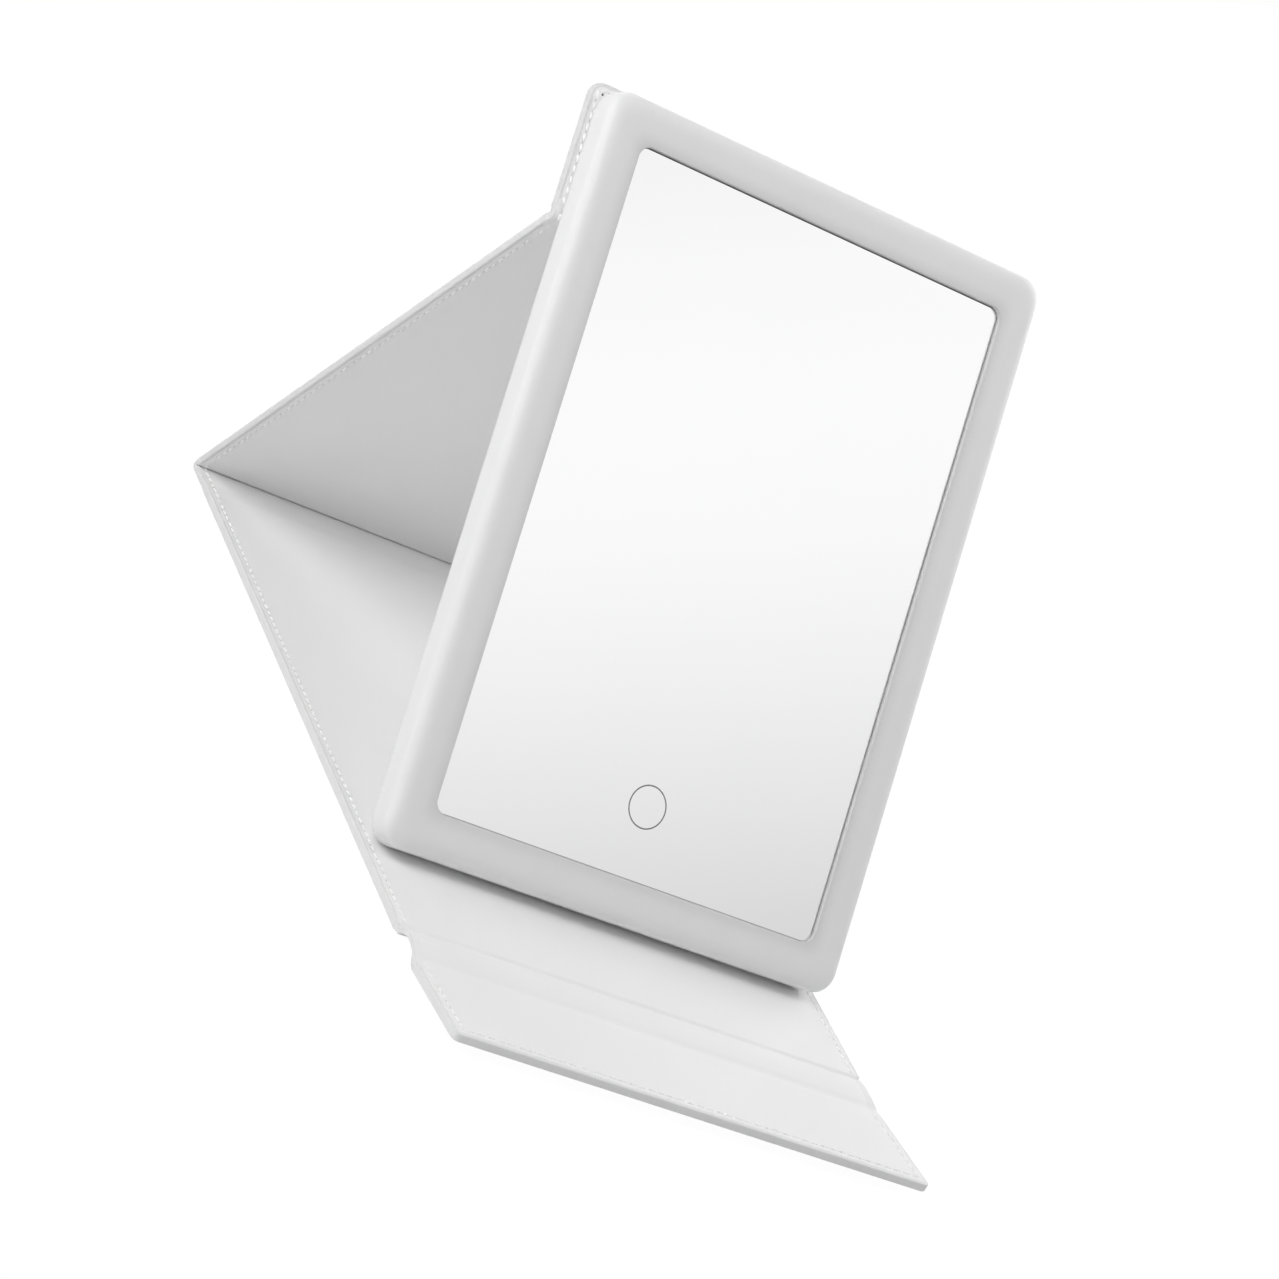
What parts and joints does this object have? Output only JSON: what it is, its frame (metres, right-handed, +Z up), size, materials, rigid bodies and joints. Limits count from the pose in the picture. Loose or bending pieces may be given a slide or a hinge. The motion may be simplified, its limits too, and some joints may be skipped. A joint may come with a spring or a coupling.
{
  "type": "lighted folding makeup mirror",
  "caption": "Flat rectangular mirror with a milky light-up frame and a touch ring, propped on a white leather folio that folds into a triangular stand with a closing flap.",
  "frame": {"origin": "on the table, at the middle of the base panel's underside", "axes": "+X to the right, +Y to the back along the folio, +Z up; the mirror faces -Y"},
  "size_m": [0.1504, 0.2744, 0.1823],
  "materials": {
    "opal_plastic": "satin milky translucent plastic",
    "silvered_glass": "polished",
    "ring_line": "etched line",
    "foam_tape": "foam",
    "copper_foil": "bare foil",
    "conductive_foam": "foam",
    "white_plastic": "fine moulded texture",
    "steel": "zinc plated",
    "circuit_board": "white solder mask",
    "lamp": "phosphor over a white lamp body",
    "chip": "moulded epoxy",
    "pouch_foil": "matte pouch foil",
    "wire": "smooth insulation",
    "outer_leather": "fine-grained white leather-look sheet",
    "lining_leather": "smooth white leather-look sheet",
    "grey_board": "pressed board",
    "magnet": "nickel plated"
  },
  "bodies": {
    "base": {"base_skin": "outer_leather", "base_board": "grey_board", "base_lining": "lining_leather", "rear_spine_skin": "outer_leather", "rear_spine_lining": "lining_leather", "rear_fold_leather": "outer_leather", "base_fold_leather": "outer_leather"},
    "strut": {"strut_skin": "outer_leather", "strut_board": "grey_board", "strut_lining": "lining_leather"},
    "mirror": {"diffuser_frame": "opal_plastic", "mirror_glass": "silvered_glass", "touch_ring": "ring_line", "glass_tape": "foam_tape", "touch_electrode": "copper_foil", "touch_foam": "conductive_foam", "rear_cover": "white_plastic", "case_screws": "steel", "led_board": "circuit_board", "leds": "lamp", "led_connector": "white_plastic", "control_board": "circuit_board", "board_chips": "chip", "charge_port": "steel", "charge_port_tongue": "chip", "battery_pad": "foam_tape", "battery_cell": "pouch_foil", "battery_leads": "wire", "hanger_skin": "outer_leather", "hanger_board": "grey_board", "hanger_lining": "lining_leather", "hanger_adhesive": "foam_tape", "catch_plates": "steel", "hanger_fold_leather": "outer_leather"},
    "spine": {"top_spine_skin": "outer_leather", "top_spine_lining": "lining_leather", "flap_fold_leather": "outer_leather"},
    "flap": {"flap_skin": "outer_leather", "flap_board": "grey_board", "flap_lining": "lining_leather", "flap_magnets": "magnet"}
  },
  "joints": [
    {"name": "strut_fold", "type": "hinge", "parent": "base", "child": "strut", "pos_m": [0, 0.1196, 0.0015], "axis": [-1, 0, 0], "range_deg": [0, 32], "deforming": ["rear_fold_leather"]},
    {"name": "mirror_fold", "type": "hinge", "parent": "strut", "child": "mirror", "pos_m": [0, 0.02579, 0.14641], "axis": [1, 0, 0], "range_deg": [0, 64], "deforming": ["hanger_fold_leather"]},
    {"name": "spine_fold", "type": "hinge", "parent": "base", "child": "spine", "pos_m": [0, -0.1054, 0.0015], "axis": [-1, 0, 0], "range_deg": [0, 90], "deforming": ["base_fold_leather"]},
    {"name": "flap_fold", "type": "hinge", "parent": "spine", "child": "flap", "pos_m": [0, -0.1197, 0.0015], "axis": [-1, 0, 0], "range_deg": [0, 60], "deforming": ["flap_fold_leather"]}
  ],
  "couplings": [
    {"joint": "mirror_fold", "follows": "strut_fold", "ratio": 2}
  ]
}
